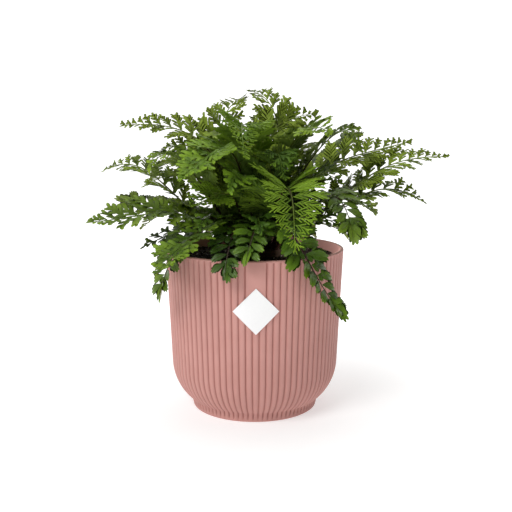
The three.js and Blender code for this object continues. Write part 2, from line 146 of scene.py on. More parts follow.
# Where each frond grows and how it arches. ring is its ring on the crown and azimuth its direction. Its tip
# is reach out from the crown's middle, sway to the side and tip above the foot, in millimetres. lift and fall
# are the angles at which it leaves the crown and points at its tip, arch is how far it keeps its first
# direction, as a share of the straight way to the tip, and roll is how far its blade is turned there. Angles
# are in degrees.
Frond = namedtuple("Frond", "name form ring azimuth reach sway tip lift fall arch roll")
FRONDS = [Frond(*row) for row in [
    # Young fronds in the middle, nearly upright
    ("top_upright", "fine", 0, 139, 50, -46, 242, 55, 0, 0.8, -15),
    ("top_leaning", "fine", 0, 53, 36, 32, 248, 60, 5, 0.8, -5),
    ("top_right", "fine", 0, 21, 52, -4, 230, 90, 10, 0.8, 65),
    ("centre_high", "fine", 0, -112, 96, 31, 199, 85, -42, 0.95, -19),
    # Younger fronds that arch high
    ("high_left", "fine", 1, 171, 104, 8, 220, 80, -5, 0.65, -45),
    ("back_left_high", "fine", 1, 118, 93, -19, 208, 62, -36, 0.65, -3),
    ("back_high", "fine", 1, 78, 92, -4, 216, 72, -40, 0.65, 10),
    ("right_dark", "round", 1, 32, 92, -12, 216, 55, 45, 0.65, 20),
    ("right_inner", "fine", 1, -13, 82, -17, 201, 69, -79, 0.65, 27),
    ("high_broad_right", "broad", 1, -32, 81, -34, 214, 83, -21, 0.65, 33),
    ("centre_right", "fine", 1, -71, 69, -4, 183, 72, -73, 1, 0),
    ("centre_mid", "broad", 1, -95, 74, -12, 174, 70, -60, 0.65, -35),
    ("centre_broad", "broad", 1, -119, 106, 0, 184, 85, -20, 1, -10),
    ("high_broad_left", "broad", 1, -173, 46, 8, 206, 90, -20, 1, -5),
    # Grown fronds that spread wide
    ("left_drooping", "fine", 2, 152, 122, -36, 174, 83, -44, 0.55, -31),
    ("back_left", "fine", 2, 143, 122, -3, 167, 77, -28, 0.55, -2),
    ("back_mid", "broad", 2, 102, 116, -5, 176, 68, -51, 0.55, -19),
    ("back_low", "fine", 2, 74, 100, 4, 160, 65, -70, 0.55, 0),
    ("back_right_high", "fine", 2, 64, 118, -6, 196, 75, -20, 0.55, 0),
    ("right_level", "fine", 2, 5, 124, 0, 208, 70, 15, 0.55, 50),
    ("right_long", "fine", 2, -6, 150, 19, 196, 35, -2, 0.55, 32),
    ("right_mid", "fine", 2, -26, 76, -16, 178, 60, -40, 0.55, 30),
    ("feather", "fine", 2, -63, 102, -24, 138, 62, -82, 1, -3),
    ("centre_bright", "fine", 2, -121, 88, 0, 166, 80, 0, 0.8, -20),
    ("left_mid", "broad", 2, -157, 89, 15, 187, 62, -64, 0.55, 3),
    ("left_curled", "fine", 2, -171, 116, -44, 184, 35, -25, 0.55, -25),
    ("left_level", "fine", 2, -181, 71, 1, 203, 60, -12, 0.55, -38),
    # Old fronds that lie low or hang over the rim
    ("left_rounded", "round", 3, 179, 108, 0, 166, 60, 30, 0.55, -30),
    ("back_left_low", "broad", 3, 154, 106, 0, 134, 55, -40, 0.55, 0),
    ("back_rim_left", "round", 3, 124, 92, 0, 104, 55, -65, 0.9, 0),
    ("back_rim", "broad", 3, 92, 108, 0, 126, 60, -50, 0.55, 0),
    ("back_rim_right", "round", 3, 60, 96, 0, 116, 55, -60, 0.8, 0),
    ("back_right_low", "broad", 3, 30, 122, 0, 144, 60, -40, 0.55, -10),
    ("right_rim", "round", 3, 12, 76, -8, 132, 55, -40, 0.55, -5),
    ("right_low", "fine", 3, -9, 132, 20, 160, 35, -35, 0.55, 30),
    ("right_short", "broad", 3, -23, 95, 1, 157, 64, -36, 0.55, 11),
    ("right_hanging", "round", 3, -32, 100, -35, 140, 61, -80, 0.9, 2),
    ("right_narrow", "fine", 3, -43, 84, 0, 148, 65, -25, 0.55, 10),
    ("rim_front_right", "round", 3, -77, 92, 44, 88, 50, -30, 1, 0),
    ("rim_front", "round", 3, -84, 80, -16, 126, 60, -45, 0.8, 0),
    ("front_low", "broad", 3, -91, 68, 4, 144, 75, -80, 0.55, 0),
    ("rim_front_left", "round", 3, -110, 82, 6, 114, 70, -60, 0.8, 0),
    ("front_low_left", "broad", 3, -124, 72, 0, 146, 65, -60, 0.55, -10),
    ("front_left_bright", "broad", 3, -133, 115, 14, 121, 66, -21, 0.55, 0),
    ("rim_left", "round", 3, -148, 89, 8, 94, 70, -75, 0.9, 0),
    ("left_long", "broad", 3, -154, 132, -4, 152, 50, 0, 0.55, -30),
    ("left_dark", "broad", 3, -165, 90, 0, 128, 65, -25, 0.55, -10),
]]

# How light a frond is, from 0 to 1, where it differs from the others of its form. Partly painted light and
# shade: darker for fronds deep in shade, lighter for some high up and at the right
TONES_AND_PAINTED_LIGHT = {
    "top_upright": 0.78, "top_leaning": 0.8, "top_right": 0.78, "centre_high": 0.8, "centre_broad": 0.74,
    "high_broad_left": 0.7, "high_broad_right": 0.7, "high_left": 0.78, "back_left_high": 0.76,
    "back_high": 0.76, "right_dark": 0.4, "right_inner": 0.5, "centre_right": 0.46, "centre_mid": 0.64,
    "left_mid": 0.68, "back_mid": 0.4, "back_low": 0.3, "back_right_high": 0.5, "right_level": 0.82,
    "right_long": 0.82, "right_mid": 0.45, "centre_bright": 0.9, "left_curled": 0.74,
    "left_level": 0.78, "right_low": 0.74, "right_hanging": 0.5, "rim_front_right": 0.6, "rim_front": 0.55,
    "right_narrow": 0.4, "right_short": 0.5, "front_low": 0.3, "rim_front_left": 0.34,
    "front_low_left": 0.45, "front_left_bright": 0.64, "left_dark": 0.3,
}
USUAL_TONES = {"fine": 0.7, "broad": 0.62, "round": 0.52, "feather": 0.86}
LEAFLET_TONE_SPREAD = 0.13
LOBE_TONE_SPREAD = 0.06
LEAFLET_BASE_SHADE = 0.34  # painted shade: darker at a leaflet's base by the midrib, lighter towards its tip
FROND_TIP_LIGHTER = 0.1
BASE_DARKER = 0.8  # for the leaflets low on the stalk, which get little light
OFF_VEINS = np.array([[0, 1, 0]])  # a place in a lobe where no vein is drawn

# The forms of leaflets. spacing and longest are in millimetres, and shortest is a share of longest. Leaflets
# leave the midrib at angles that change from the base of the blade to its tip, rise from the blade by rise
# and are turned about their axis by up to twist degrees. fold is how steeply their two halves rise from the
# axis. Over a share of the leaflet, lobe_range, both sides of the axis have lobes, pitch apart and at
# lobe_angles to it, and there is one more at the end. A length or half width is a number of millimetres and a
# share of the leaflet's length, together. web is the half width of the undivided blade along the axis.
Form = namedtuple("Form", """spacing longest shortest angles rise twist fold web lobe lobe_range pitch
                  lobe_angles length half_width end_length end_half_width""")
FORMS = {
    "fine": Form(10, 22.5, 0.16, (72, 48), 12, 20, 0.22, 0.11, "finger", (0.06, 0.88), 2.9,
                 (44, 24), (1.8, 0.32), (1.02, 0.014), (3, 0.26), (1.2, 0.016)),
    "feather": Form(7.8, 28, 0.2, (102, 60), 32, 10, 0.2, 0.02, "needle", (0, 0.88), 2.9,
                    (34, 16), (3, 0.3), (0.48, 0.006), (3, 0.24), (0.48, 0.006)),
    "broad": Form(9.6, 25.5, 0.16, (70, 44), 10, 26, 0.3, 0.12, "oak", (0, 0.88), 4.5,
                  (48, 26), (2.6, 0.32), (1.1, 0.036), (3, 0.28), (1.4, 0.05)),
    "round": Form(8.8, 20, 0.7, (80, 50), 8, 18, 0.15, 0.02, "toothed", (0, 0.34), 5,
                  (64, 44), (0, 0.36), (0.4, 0.12), (0, 0.96), (0.5, 0.25)),
}
FORM_EXCEPTIONS = {"feather": "feather"}

# Lobe shapes: half width of the stem, where the lobe's middle is, how far its toothed end sweeps round that
# middle in degrees, how much it tapers, number of teeth, depth of the notches between them, and whether
# there are points inside the blade
Lobe = namedtuple("Lobe", "stem middle sweep taper teeth notch full")
LOBES = {
    "finger": Lobe(0.62, 0.78, 88, 0, 2, 0.22, False),
    "needle": Lobe(0.7, 0.86, 85, 0, 2, 0.3, False),
    "oak": Lobe(0.55, 0.62, 95, 0.05, 4, 0.18, True),
    "web": Lobe(0.5, 0.4, 88, 0, 1, 0.15, False),
    "toothed": Lobe(0.14, 0.6, 108, 0.05, 6, 0.26, True),
    "scale": Lobe(0.4, 0.25, 88, 0, 1, 0.4, False),
}
TEETH_BEHIND = 0.35  # how far behind a lobe's middle its teeth fade out
INNER_SHARE = 0.66  # how far out the points inside a full lobe are
CREST_START = 0.02  # of the raised line along a lobe's middle
CREST_POINTS = 4
LOBE_FULLNESS = [[0, 0.3, 0.7, 1], [0.95, 1, 0.85, 0.55]]  # places along the leaflet, and lengths there
LOBE_CUP = 0.25  # the most that a lobe's edges rise, as a share of its half width
LOBE_BEND = 0.14  # the most that its tip drops, as a share of its length
SAG = 0.12  # the most that a leaflet's tip drops and moves to the side, as shares of its length
BOW = 0.16
TWIST_AT_ROOT = 0.4  # as a share of the twist at the leaflet's tip
AXIS_SHARE = 0.9  # of a leaflet, along which its axis and its undivided blade run

# How much leaves of one form differ: angles in degrees, and factors
RISE_SPREAD = 11
ANGLE_SPREAD = 5
LOBE_ANGLE_SPREAD = 5
FULLNESS_SPREAD = [0.88, 1.08]
LENGTH_SPREAD = [0.9, 1.06]
FOLD_SPREAD = [0.6, 1.4]

# Shares of a frond over which its midrib turns from brown to green
WOOD_SHARE = {"fine": [0.3, 1], "broad": [0.3, 0.9], "round": [0.7, 1.1], "feather": [0.5, 1.1]}

# Studio, in metres
LIGHTS = [  # name, place, target, size, power
    ("key", (-0.7, -1.0, 1.2), (0, 0, 0.13), 0.9, 15),
    ("side", (-1.4, -0.1, 0.7), (0, 0, 0.13), 1.2, 2),
    ("top", (0, 0.1, 1.5), (0.02, 0, 0.2), 1.1, 9.5),
    ("rim", (0.036, -0.026, 0.134), (0.066, 0.014, 0.12), 0.016, 0.018),
]
WORLD_STRENGTH = 0.08  # as a light; the camera sees it white
FLOOR_GLOW = [0.56, 0.93]  # close to the object and far from it
GLOW_DISTANCES = [0.1, 0.32]
FLOOR_COLOR = (0.6, 0.6, 0.6, 1)
# The floor runs this far to the front and back, and then curves up to a height
SWEEP_FRONT = 2.5
SWEEP_BACK = 1.5
SWEEP_RADIUS = 0.8
SWEEP_STEPS = 12
SWEEP_HEIGHT = 3
SWEEP_HALF_WIDTH = 3

# Camera
CAMERA_PLACE = (-8.66, -619.9, 219.5)
CAMERA_TURN = (90 - 9.25, 0, -0.8)  # degrees
SENSOR = 36  # millimetres
IMAGE_SIDE = 512  # in pixels, as the two below
FOCAL_LENGTH = 798
OPTICAL_MIDDLE = 254.6


def lerp(low, high, share):
    return low + (high - low) * share


def smooth_step(low, high, value):
    """0 up to low, 1 from high on, and a smooth rise between them."""
    share = np.clip((np.asarray(value, float) - low) / (high - low), 0, 1)
    return share * share * (3 - 2 * share)


# Meshes

class Body:
    """Points and triangles gathered part by part, with a few numbers a point that its material reads."""

    def __init__(self):
        self.points, self.faces, self.marks = [], [], []
        self.count = 0

    def add(self, points, faces, **marks):
        """marks are numbers, or arrays with a number for each point. Every call gives the same ones."""
        points = np.asarray(points, float)
        self.points.append(points)
        self.faces.append(np.asarray(faces) + self.count)
        self.marks.append({key: np.broadcast_to(value, len(points)) for key, value in marks.items()})
        self.count += len(points)

    def gathered(self):
        """All points, triangles and marks, in one array each."""
        marks = {key: np.concatenate([mark[key] for mark in self.marks]) for key in self.marks[0]}
        return np.vstack(self.points), np.vstack(self.faces), marks

    def finish(self, name, material, slot, node, lift=None, **marks_of_all):
        """Makes the object that stands for a CAD node. lift moves the gathered points to their places."""
        points, faces, marks = self.gathered()
        points = points if lift is None else lift(points)
        marks |= {key: np.full(len(points), value) for key, value in marks_of_all.items()}
        mesh = bpy.data.meshes.new(name)
        mesh.vertices.add(len(points))
        mesh.vertices.foreach_set("co", (points * MM).ravel())
        mesh.loops.add(faces.size)
        mesh.loops.foreach_set("vertex_index", faces.ravel())
        mesh.polygons.add(len(faces))
        mesh.polygons.foreach_set("loop_start", np.arange(0, faces.size, 3))
        mesh.polygons.foreach_set("use_smooth", np.ones(len(faces), bool))
        for key, values in marks.items():
            mesh.attributes.new(key, "FLOAT", "POINT").data.foreach_set("value", values.astype(np.float32))
        mesh.update(calc_edges=True)
        mesh.set_sharp_from_angle(angle=SHARP_ANGLE)
        mesh.materials.append(material)
        piece = bpy.data.objects.new(name, mesh)
        bpy.context.scene.collection.objects.link(piece)
        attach(piece, "root")
        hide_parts(node)


def grid_faces(rows, columns):
    """Triangles between the points of a grid, row by row, with the last column joined to the first."""
    row, column = np.meshgrid(np.arange(rows - 1), np.arange(columns), indexing="ij")
    low = (row * columns + column).ravel()
    low_next = (row * columns + (column + 1) % columns).ravel()
    high, high_next = low + columns, low_next + columns
    return np.vstack([np.column_stack([low, low_next, high_next]), np.column_stack([low, high_next, high])])


def straight_tube(start, end, radii, sides, steps):
    """Points and triangles of a tapering tube along X, pointed at both ends."""
    x = np.linspace(start, end, steps)[:, None]
    radius = np.linspace(*radii, steps)[:, None]
    radius[[0, -1]] = 0
    turn = np.linspace(0, 2 * math.pi, sides, endpoint=False)
    points = np.dstack([np.broadcast_to(x, (steps, sides)), radius * np.cos(turn), radius * np.sin(turn)])
    return points.reshape(-1, 3), grid_faces(steps, sides)


def turned(profile, angles, offset=0):
    """A surface of revolution about Z through (radius, z) rows. offset is added to each radius."""
    radius = profile[:, :1] + offset
    x, y = radius * np.cos(angles), radius * np.sin(angles)
    return np.dstack([x, y, np.broadcast_to(profile[:, 1:], x.shape)]).reshape(-1, 3)


# Materials

MIX_INPUTS = 6, 7  # the sockets of a Mix node that are colours
MIX_OUTPUT = 2


class Finish:
    """A material round one Principled shader. Keywords are its sockets' names with _ for a blank."""

    def __init__(self, name, **uniform):
        self.material = bpy.data.materials.new(name)
        self.material.use_nodes = True
        self.tree = self.material.node_tree
        self.shader = self.tree.nodes["Principled BSDF"]
        self.paint(**uniform)

    def put(self, node, socket, value):
        if isinstance(value, bpy.types.NodeSocket):
            self.tree.links.new(value, node.inputs[socket])
        else:
            node.inputs[socket].default_value = value

    def add(self, kind, inputs, **settings):
        node = self.tree.nodes.new(kind)
        for setting, value in settings.items():
            setattr(node, setting, value)
        for socket, value in inputs.items():
            self.put(node, socket, value)
        return node

    def paint(self, **inputs):
        for socket, value in inputs.items():
            self.put(self.shader, socket.replace("_", " "), value)

    def mark(self, name):
        return self.add("ShaderNodeAttribute", {}, attribute_name=name).outputs["Fac"]

    def noise(self, scale, detail=3.0):
        """Noise about 1 / scale metres in size, the same from every side."""
        place = self.add("ShaderNodeTexCoord", {}).outputs["Object"]
        inputs = {"Vector": place, "Scale": scale, "Detail": detail}
        return self.add("ShaderNodeTexNoise", inputs).outputs["Fac"]

    def math(self, operation, first, second=0.0, third=0.0):
        return self.add("ShaderNodeMath", {0: first, 1: second, 2: third}, operation=operation).outputs[0]

    def between(self, value, low, high, to_low=0.0, to_high=1.0):
        inputs = {"Value": value, "From Min": low, "From Max": high, "To Min": to_low, "To Max": to_high}
        return self.add("ShaderNodeMapRange", inputs, interpolation_type="SMOOTHSTEP").outputs["Result"]

    def mix(self, share, first, second):
        node = self.add("ShaderNodeMix", {"Factor": share}, data_type="RGBA")
        for socket, color in zip(MIX_INPUTS, (first, second)):
            self.put(node, socket, color)
        return node.outputs[MIX_OUTPUT]

    def ramp(self, value, colors):
        """A colour between evenly spaced ones."""
        node = self.add("ShaderNodeValToRGB", {"Fac": value})
        stops = node.color_ramp.elements
        while len(stops) < len(colors):
            stops.new(1)
        for i, color in enumerate(colors):
            stops[i].position = i / (len(colors) - 1)
            stops[i].color = color
        return node.outputs["Color"]

    def bump(self, height, distance, strength=1.0):
        inputs = {"Height": height, "Distance": distance, "Strength": strength}
        self.paint(Normal=self.add("ShaderNodeBump", inputs).outputs["Normal"])


UNDERSIDE = (0.19, 0.24, 0.09, 1)
PINK = (0.62, 0.318, 0.283, 1)
PINK_DEEP = (0.59, 0.297, 0.262, 1)
# Painted shade: the dark pink laid into the bottoms of the grooves
PINK_GROOVE_SHADE = (0.3, 0.115, 0.095, 1)
PAPER = (0.96, 0.96, 0.955, 1)
PAPER_SHADE = (0.92, 0.92, 0.92, 1)
WOOD = (0.035, 0.016, 0.01, 1)
# From dark to light
SOIL_COLORS = [
    (0.006, 0.004, 0.003, 1), (0.022, 0.013, 0.009, 1), (0.06, 0.037, 0.025, 1), (0.42, 0.36, 0.31, 1),
]
BARK_COLORS = [(0.012, 0.007, 0.004, 1), (0.05, 0.026, 0.013, 1), (0.12, 0.07, 0.035, 1)]
OLIVES = [(0.01, 0.022, 0.003, 1), (0.045, 0.075, 0.007, 1), (0.105, 0.152, 0.015, 1), (0.24, 0.33, 0.03, 1)]
FRESH_GREENS = [
    (0.006, 0.022, 0.002, 1), (0.03, 0.075, 0.006, 1), (0.075, 0.152, 0.01, 1), (0.2, 0.34, 0.02, 1),
]
TONE_NOISE = 0.3  # how far noise spreads the tones of leaves, soil and bark
GROOVE_SHADE_SHARE = 0.5  # how much painted shade darkens a groove at its bottom
UNDERSIDE_SHARE = 0.22
VEIN_SHARE = 0.14
VEINS_ACROSS = 7
VEINS_MEET = 0.25  # how far behind a lobe's base, as a share of its length


def pot_finish():
    """Matte moulded plastic: a little uneven in colour, with painted shade deepening the grooves, and a fine
    grain.
    """
    finish = Finish("pot_plastic", Specular_IOR_Level=0.15)
    pink = finish.mix(finish.between(finish.noise(60), 0.2, 0.8), PINK_DEEP, PINK)
    # Painted shade: the pink darkens towards the bottom of each groove
    groove = finish.math("MULTIPLY", finish.mark("groove"), GROOVE_SHADE_SHARE)
    finish.paint(Base_Color=finish.mix(groove, pink, PINK_GROOVE_SHADE))
    finish.paint(Roughness=finish.between(finish.noise(260), 0.3, 0.7, 0.5, 0.62))
    finish.bump(finish.noise(2600, 2), 0.00004)
    return finish.material


def label_finish():
    """Blank satin paper with faint fibres."""
    finish = Finish("label_paper", Specular_IOR_Level=0.4)
    finish.paint(Base_Color=finish.mix(finish.noise(900), PAPER_SHADE, PAPER))
    finish.paint(Roughness=finish.between(finish.noise(700), 0.3, 0.7, 0.38, 0.5))
    finish.bump(finish.noise(1800), 0.00002)
    return finish.material


def crumbly_finish(name, colors, scale, roughness, depth):
    """Soil or bark: each point's mark "tone" picks the colour, and noise shifts it a little."""
    finish = Finish(name, Roughness=roughness, Specular_IOR_Level=0.25)
    grain = finish.noise(scale, 6)
    lowest = finish.math("SUBTRACT", finish.mark("tone"), TONE_NOISE / 2)
    shifted = finish.math("MULTIPLY_ADD", grain, TONE_NOISE, lowest)
    finish.paint(Base_Color=finish.ramp(shifted, colors))
    finish.bump(grain, depth)
    return finish.material


def leaf_finish(name, roughness, specular):
    """A leaf's green, with veins that fan out from the base of each lobe, a paler underside and brown wood.

    A point's marks are "tone" for how light it is, painted light and shade included, "fresh" for how green
    rather than olive, "along" and "across" for where it is in its lobe, "under" for the underside and "wood"
    for a brown stalk.
    """
    finish = Finish(name, Specular_IOR_Level=specular)
    patches = finish.math("MULTIPLY_ADD", finish.noise(140, 4), TONE_NOISE, -TONE_NOISE / 2)
    tone = finish.math("ADD", finish.mark("tone"), patches)
    green = finish.mix(finish.mark("fresh"), finish.ramp(tone, OLIVES), finish.ramp(tone, FRESH_GREENS))
    from_meeting = finish.math("ADD", finish.mark("along"), VEINS_MEET)
    direction = finish.math("DIVIDE", finish.mark("across"), from_meeting)
    wave = finish.math("COSINE", finish.math("MULTIPLY", direction, VEINS_ACROSS * math.pi))
    veins = finish.between(wave, 0.7, 1)
    veined = finish.mix(finish.math("MULTIPLY", veins, VEIN_SHARE), green, OLIVES[-1])
    pale = finish.mix(finish.math("MULTIPLY", finish.mark("under"), UNDERSIDE_SHARE), veined, UNDERSIDE)
    finish.paint(Base_Color=finish.mix(finish.mark("wood"), pale, WOOD))
    finish.paint(Roughness=finish.between(finish.noise(420), 0.3, 0.7, roughness - 0.06, roughness + 0.08))
    finish.bump(finish.math("MULTIPLY_ADD", veins, -0.5, finish.noise(900, 4)), 0.00012, 0.8)
    return finish.material


# Pot

def side_radius(z):
    """Radius of the straight, slightly tapering side at a height."""
    return lerp(BELLY_TOP_RADIUS, RIM_RADIUS, (z - BELLY_TOP_Z) / (POT_HEIGHT - BELLY_TOP_Z))


def belly_profile(inset=0):
    """The belly from the foot up: an arc that ends in line with the side. inset moves it inwards."""
    lean = math.atan2(RIM_RADIUS - BELLY_TOP_RADIUS, POT_HEIGHT - BELLY_TOP_Z)
    drop = BELLY_TOP_Z - FOOT_HEIGHT
    end = 2 * math.atan2(BELLY_TOP_RADIUS - FOOT_TOP_RADIUS, drop) - lean
    radius = drop / (math.sin(end) - math.sin(lean))
    turn = np.linspace(end, lean, BELLY_STEPS)
    middle = BELLY_TOP_RADIUS - radius * math.cos(lean), BELLY_TOP_Z + radius * math.sin(lean)
    return np.column_stack([
        middle[0] + (radius - inset) * np.cos(turn), middle[1] - (radius - inset) * np.sin(turn),
    ])


def rounding(radius, z, start, end):
    """A quarter round at an edge, between two angles in degrees, as (radius, z) rows."""
    turn = np.radians(np.linspace(start, end, ROUNDING_STEPS))
    return np.column_stack([radius + EDGE_ROUNDING * np.cos(turn), z + EDGE_ROUNDING * np.sin(turn)])


def wall_rows(heights, inset=0):
    return np.array([(side_radius(z) - inset, z) for z in heights])


def make_pot():
    """Ribs all round, with narrow grooves that fade out under the rim and above the foot."""
    rim_z = POT_HEIGHT - EDGE_ROUNDING
    outer = np.vstack([
        [(POLE_RADIUS, 0)],
        rounding(FOOT_RADIUS - EDGE_ROUNDING, EDGE_ROUNDING, -90, 0),
        [(lerp(FOOT_RADIUS, FOOT_TOP_RADIUS, 0.5), lerp(EDGE_ROUNDING, FOOT_HEIGHT, 0.5))],
        belly_profile(),
        wall_rows([*LOW_ROWS, PANEL_BOTTOM_Z - PANEL_FADE, PANEL_BOTTOM_Z]),
        wall_rows([*HIGH_ROWS, GROOVE_TOP[0], rim_z]),
        rounding(RIM_RADIUS - EDGE_ROUNDING, rim_z, 0, 90),
    ])
    inside_belly = belly_profile(WALL)[::-1]
    inner = np.vstack([
        rounding(RIM_RADIUS - WALL + EDGE_ROUNDING, rim_z, 90, 180),
        wall_rows(INSIDE_ROWS, WALL),
        inside_belly,
        [(inside_belly[-1, 0], INSIDE_FLOOR_Z), (POLE_RADIUS, INSIDE_FLOOR_Z)],
    ])
    profile = np.vstack([outer, inner])
    section = np.array([*RIB_SECTION, *[(1 - place, depth) for place, depth in RIB_SECTION[:0:-1]]])
    places = (np.arange(RIBS)[:, None] + section[:, 0] + 0.5).ravel()
    depths = np.tile(section[:, 1], RIBS)

    z = profile[:, 1]
    outside = np.arange(len(profile)) < len(outer)
    grooved = outside * smooth_step(*GROOVE_BOTTOM, z) * (1 - smooth_step(*GROOVE_TOP, z))
    plain = outside * smooth_step(PANEL_BOTTOM_Z - PANEL_FADE, PANEL_BOTTOM_Z, z)
    proud = plain * PANEL_PROUD * (1 - smooth_step(*GROOVE_TOP, z))
    from_front = np.minimum(places, RIBS - places)
    on_panel = (from_front < PANEL_RIBS / 2 - PANEL_MARGIN)[None, :]
    ribbed = -GROOVE_DEPTH * grooved[:, None] * depths
    offset = np.where(on_panel, ribbed * (1 - plain[:, None]) + proud[:, None], ribbed)
    body = Body()
    angles = FRONT + places * 2 * math.pi / RIBS
    # How far down its groove a point lies, from 0 to 1, for the painted shade that the pot's material puts
    # there
    groove = np.clip(-offset / GROOVE_DEPTH, 0, 1).ravel()
    body.add(turned(profile, angles, offset), grid_faces(len(profile), len(angles)), groove=groove)
    return body


def make_label():
    """A thin square sheet on its corner, bent round the pot's side. Its rows run along its own edges."""
    steps = np.linspace(-1, 1, LABEL_STEPS)
    rows = np.array([-1, *steps, 1])
    columns = np.concatenate([steps, steps[::-1]])
    # How far through the sheet a point is: 0.5 on its outer face, -0.5 on its inner one, 0 at its ends
    level = np.outer(np.ones(len(rows)), np.repeat([1, 0], LABEL_STEPS)) - 0.5
    level[[0, -1]] = 0
    first, second = np.meshgrid(rows, columns, indexing="ij")
    along = (second - first) * LABEL_DIAGONAL / 4
    z = LABEL_Z + (second + first) * LABEL_DIAGONAL / 4
    radius = side_radius(z) + PANEL_PROUD + CLEARANCE + LABEL_THICKNESS * (level + 0.5)
    angle = FRONT + along / RIM_RADIUS
    body = Body()
    points = np.dstack([radius * np.cos(angle), radius * np.sin(angle), z]).reshape(-1, 3)
    body.add(points, grid_faces(len(rows), len(columns)))
    return body


# Soil and crown

def soil_height(radius):
    return SOIL_Z + SOIL_RISE * (1 - radius / RIM_RADIUS)


def uneven(points, scale, amount):
    """Noise for each point, of bumps about scale millimetres wide and up to amount high."""
    return np.array([noise.fractal(Vector(point) / scale, 1, 2, 3) for point in points]) * amount


def crumbs(body, rng, places, sizes, tones):
    """Little angular lumps: cubes with their corners moved, one at each place."""
    corners = np.array([(x, y, z) for z in (-1, 1) for y in (-1, 1) for x in (-1, 1)], float)
    sides = [(0, 2, 3, 1), (4, 5, 7, 6), (0, 1, 5, 4), (2, 6, 7, 3), (0, 4, 6, 2), (1, 3, 7, 5)]
    faces = [corner for a, b, c, d in sides for corner in ((a, b, c), (a, c, d))]
    for place, size, tone in zip(places, sizes, tones):
        lump = corners * rng.uniform(*GRAIN_CORNERS, corners.shape) * size
        body.add(place + turned_flat(lump, rng.uniform(0, 180)), faces, tone=tone)


def make_soil():
    """A heap of crumbly soil down to the pot's floor, with loose crumbs and a few light specks on top."""
    rng = np.random.default_rng(SEED)
    inside_belly = belly_profile(WALL + CLEARANCE)
    edge = side_radius(SOIL_Z) - WALL - CLEARANCE
    bed = INSIDE_FLOOR_Z + CLEARANCE
    rings = edge * np.linspace(1, 0, SOIL_ROWS, endpoint=False)
    profile = np.vstack([
        [(POLE_RADIUS, bed), (inside_belly[0, 0], bed)],
        inside_belly,
        wall_rows(INSIDE_ROWS[::-1], WALL + CLEARANCE),
        np.column_stack([rings, soil_height(rings)]),
        [(POLE_RADIUS, soil_height(0))],
    ])
    points = turned(profile, np.linspace(0, 2 * math.pi, SOIL_COLUMNS, endpoint=False))
    on_top = np.repeat(np.arange(len(profile)) >= len(profile) - len(rings) - 1, SOIL_COLUMNS)
    points[on_top, 2] += sum(uneven(points[on_top], *bumps) for bumps in SOIL_BUMPS)
    body = Body()
    body.add(points, grid_faces(len(profile), SOIL_COLUMNS), tone=SOIL_TONE)

    radius = np.sqrt(rng.uniform(CROWN_RADIUS ** 2, (edge - GRAIN_MARGIN) ** 2, GRAINS))
    turn = rng.uniform(0, 2 * math.pi, GRAINS)
    sizes = lerp(*GRAIN_SIZES, rng.uniform(0, 1, GRAINS) ** 2)
    tones = np.where(rng.uniform(0, 1, GRAINS) < PALE_GRAINS, 1, rng.uniform(*GRAIN_TONES, GRAINS))
    heights = soil_height(radius) + GRAIN_LIFT
    places = np.column_stack([radius * np.cos(turn), radius * np.sin(turn), heights])
    crumbs(body, rng, places, sizes, tones)
    return body


def crown_height(radius):
    return CROWN_EDGE_Z + CROWN_DOME * math.sqrt(1 - (radius / CROWN_RADIUS) ** 2)


def make_crown():
    """The fern's short stock: a rough dome covered in narrow dry scales that point outwards."""
    rng = np.random.default_rng(SEED + 1)
    turn = np.linspace(0, math.pi / 2, CROWN_ROWS)
    profile = np.vstack([
        [(POLE_RADIUS, CROWN_FOOT_Z), (CROWN_RADIUS - 1, CROWN_FOOT_Z)],
        np.column_stack([CROWN_RADIUS * np.cos(turn), CROWN_EDGE_Z + CROWN_DOME * np.sin(turn)]),
    ])
    profile[-1, 0] = POLE_RADIUS
    points = turned(profile, np.linspace(0, 2 * math.pi, CROWN_COLUMNS, endpoint=False))
    points[:, 2] += uneven(points, *CROWN_BUMPS)
    body = Body()
    body.add(points, grid_faces(len(profile), CROWN_COLUMNS), tone=SCALE_TONES[0])
    scale = shapes["scale"]
    for _ in range(SCALES):
        radius = (CROWN_RADIUS - 1) * math.sqrt(rng.uniform(0.01, 0.98))
        angle = rng.uniform(0, 2 * math.pi)
        rise = math.radians(rng.uniform(*SCALE_RISES))
        outward = np.array([math.cos(angle), math.sin(angle), 0])
        beside = np.array([-math.sin(angle), math.cos(angle), 0])
        forward = outward * math.cos(rise) + np.array([0, 0, math.sin(rise)])
        above = np.cross(forward, beside)
        extent = np.array([rng.uniform(*SCALE_LENGTHS), SCALE_HALF_WIDTH, SCALE_HALF_THICKNESS])
        place = outward * radius + np.array([0, 0, crown_height(radius) - SCALE_DEPTH])
        points = place + scale.points * extent @ np.array([forward, beside, above])
        body.add(points, scale.faces, tone=rng.uniform(*SCALE_TONES))
    return body


# Leaflets

Shape = namedtuple("Shape", "points faces")


